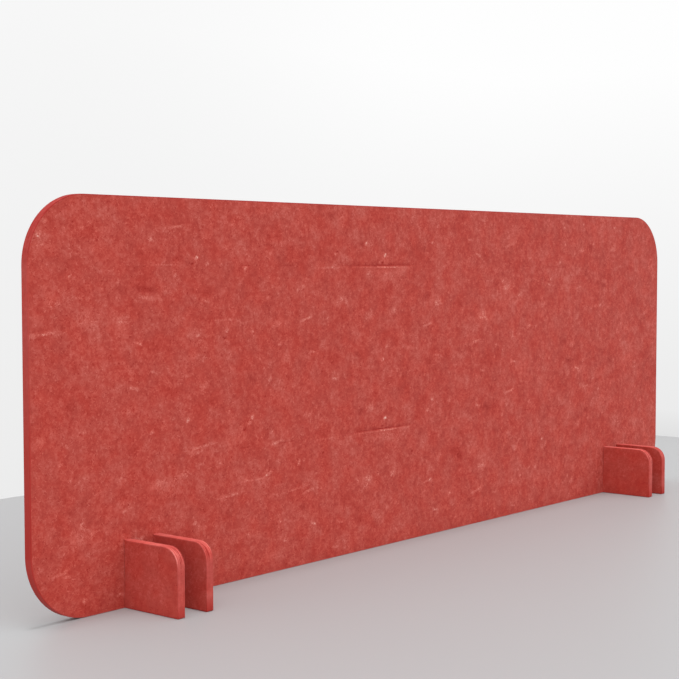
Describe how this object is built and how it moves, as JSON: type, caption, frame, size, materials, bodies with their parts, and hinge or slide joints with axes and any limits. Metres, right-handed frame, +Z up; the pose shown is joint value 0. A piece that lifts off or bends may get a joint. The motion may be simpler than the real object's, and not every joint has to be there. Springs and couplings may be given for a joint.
{
  "type": "acoustic desk screen",
  "caption": "Free-standing acoustic divider of stiff felt board: a long round-cornered panel that stands on slotted felt feet, which cross it in push-together lap joints.",
  "frame": {"origin": "middle of the panel's length and thickness, on the surface that the screen stands on", "axes": "+X along the panel, towards its right end seen from the front; +Y through the panel, from front to back; +Z up"},
  "size_m": [1.2, 0.158, 0.4],
  "materials": {
    "panel_felt": "matte needle-punched polyester felt board",
    "foot_felt": "matte needle-punched polyester felt board"
  },
  "bodies": {
    "left_outer_foot": {"left_outer_foot": "foot_felt"},
    "panel": {"screen_panel": "panel_felt"},
    "left_inner_foot": {"left_inner_foot": "foot_felt"},
    "right_inner_foot": {"right_inner_foot": "foot_felt"},
    "right_outer_foot": {"right_outer_foot": "foot_felt"}
  },
  "joints": [
    {"name": "panel_lift", "type": "slide", "parent": "left_outer_foot", "child": "panel", "axis": [0, 0, 1], "range_m": [0, 0.08]},
    {"name": "left_inner_foot_pull", "type": "slide", "parent": "panel", "child": "left_inner_foot", "axis": [0, 0, -1], "range_m": [0, 0.08]},
    {"name": "right_inner_foot_pull", "type": "slide", "parent": "panel", "child": "right_inner_foot", "axis": [0, 0, -1], "range_m": [0, 0.08]},
    {"name": "right_outer_foot_pull", "type": "slide", "parent": "panel", "child": "right_outer_foot", "axis": [0, 0, -1], "range_m": [0, 0.08]}
  ]
}
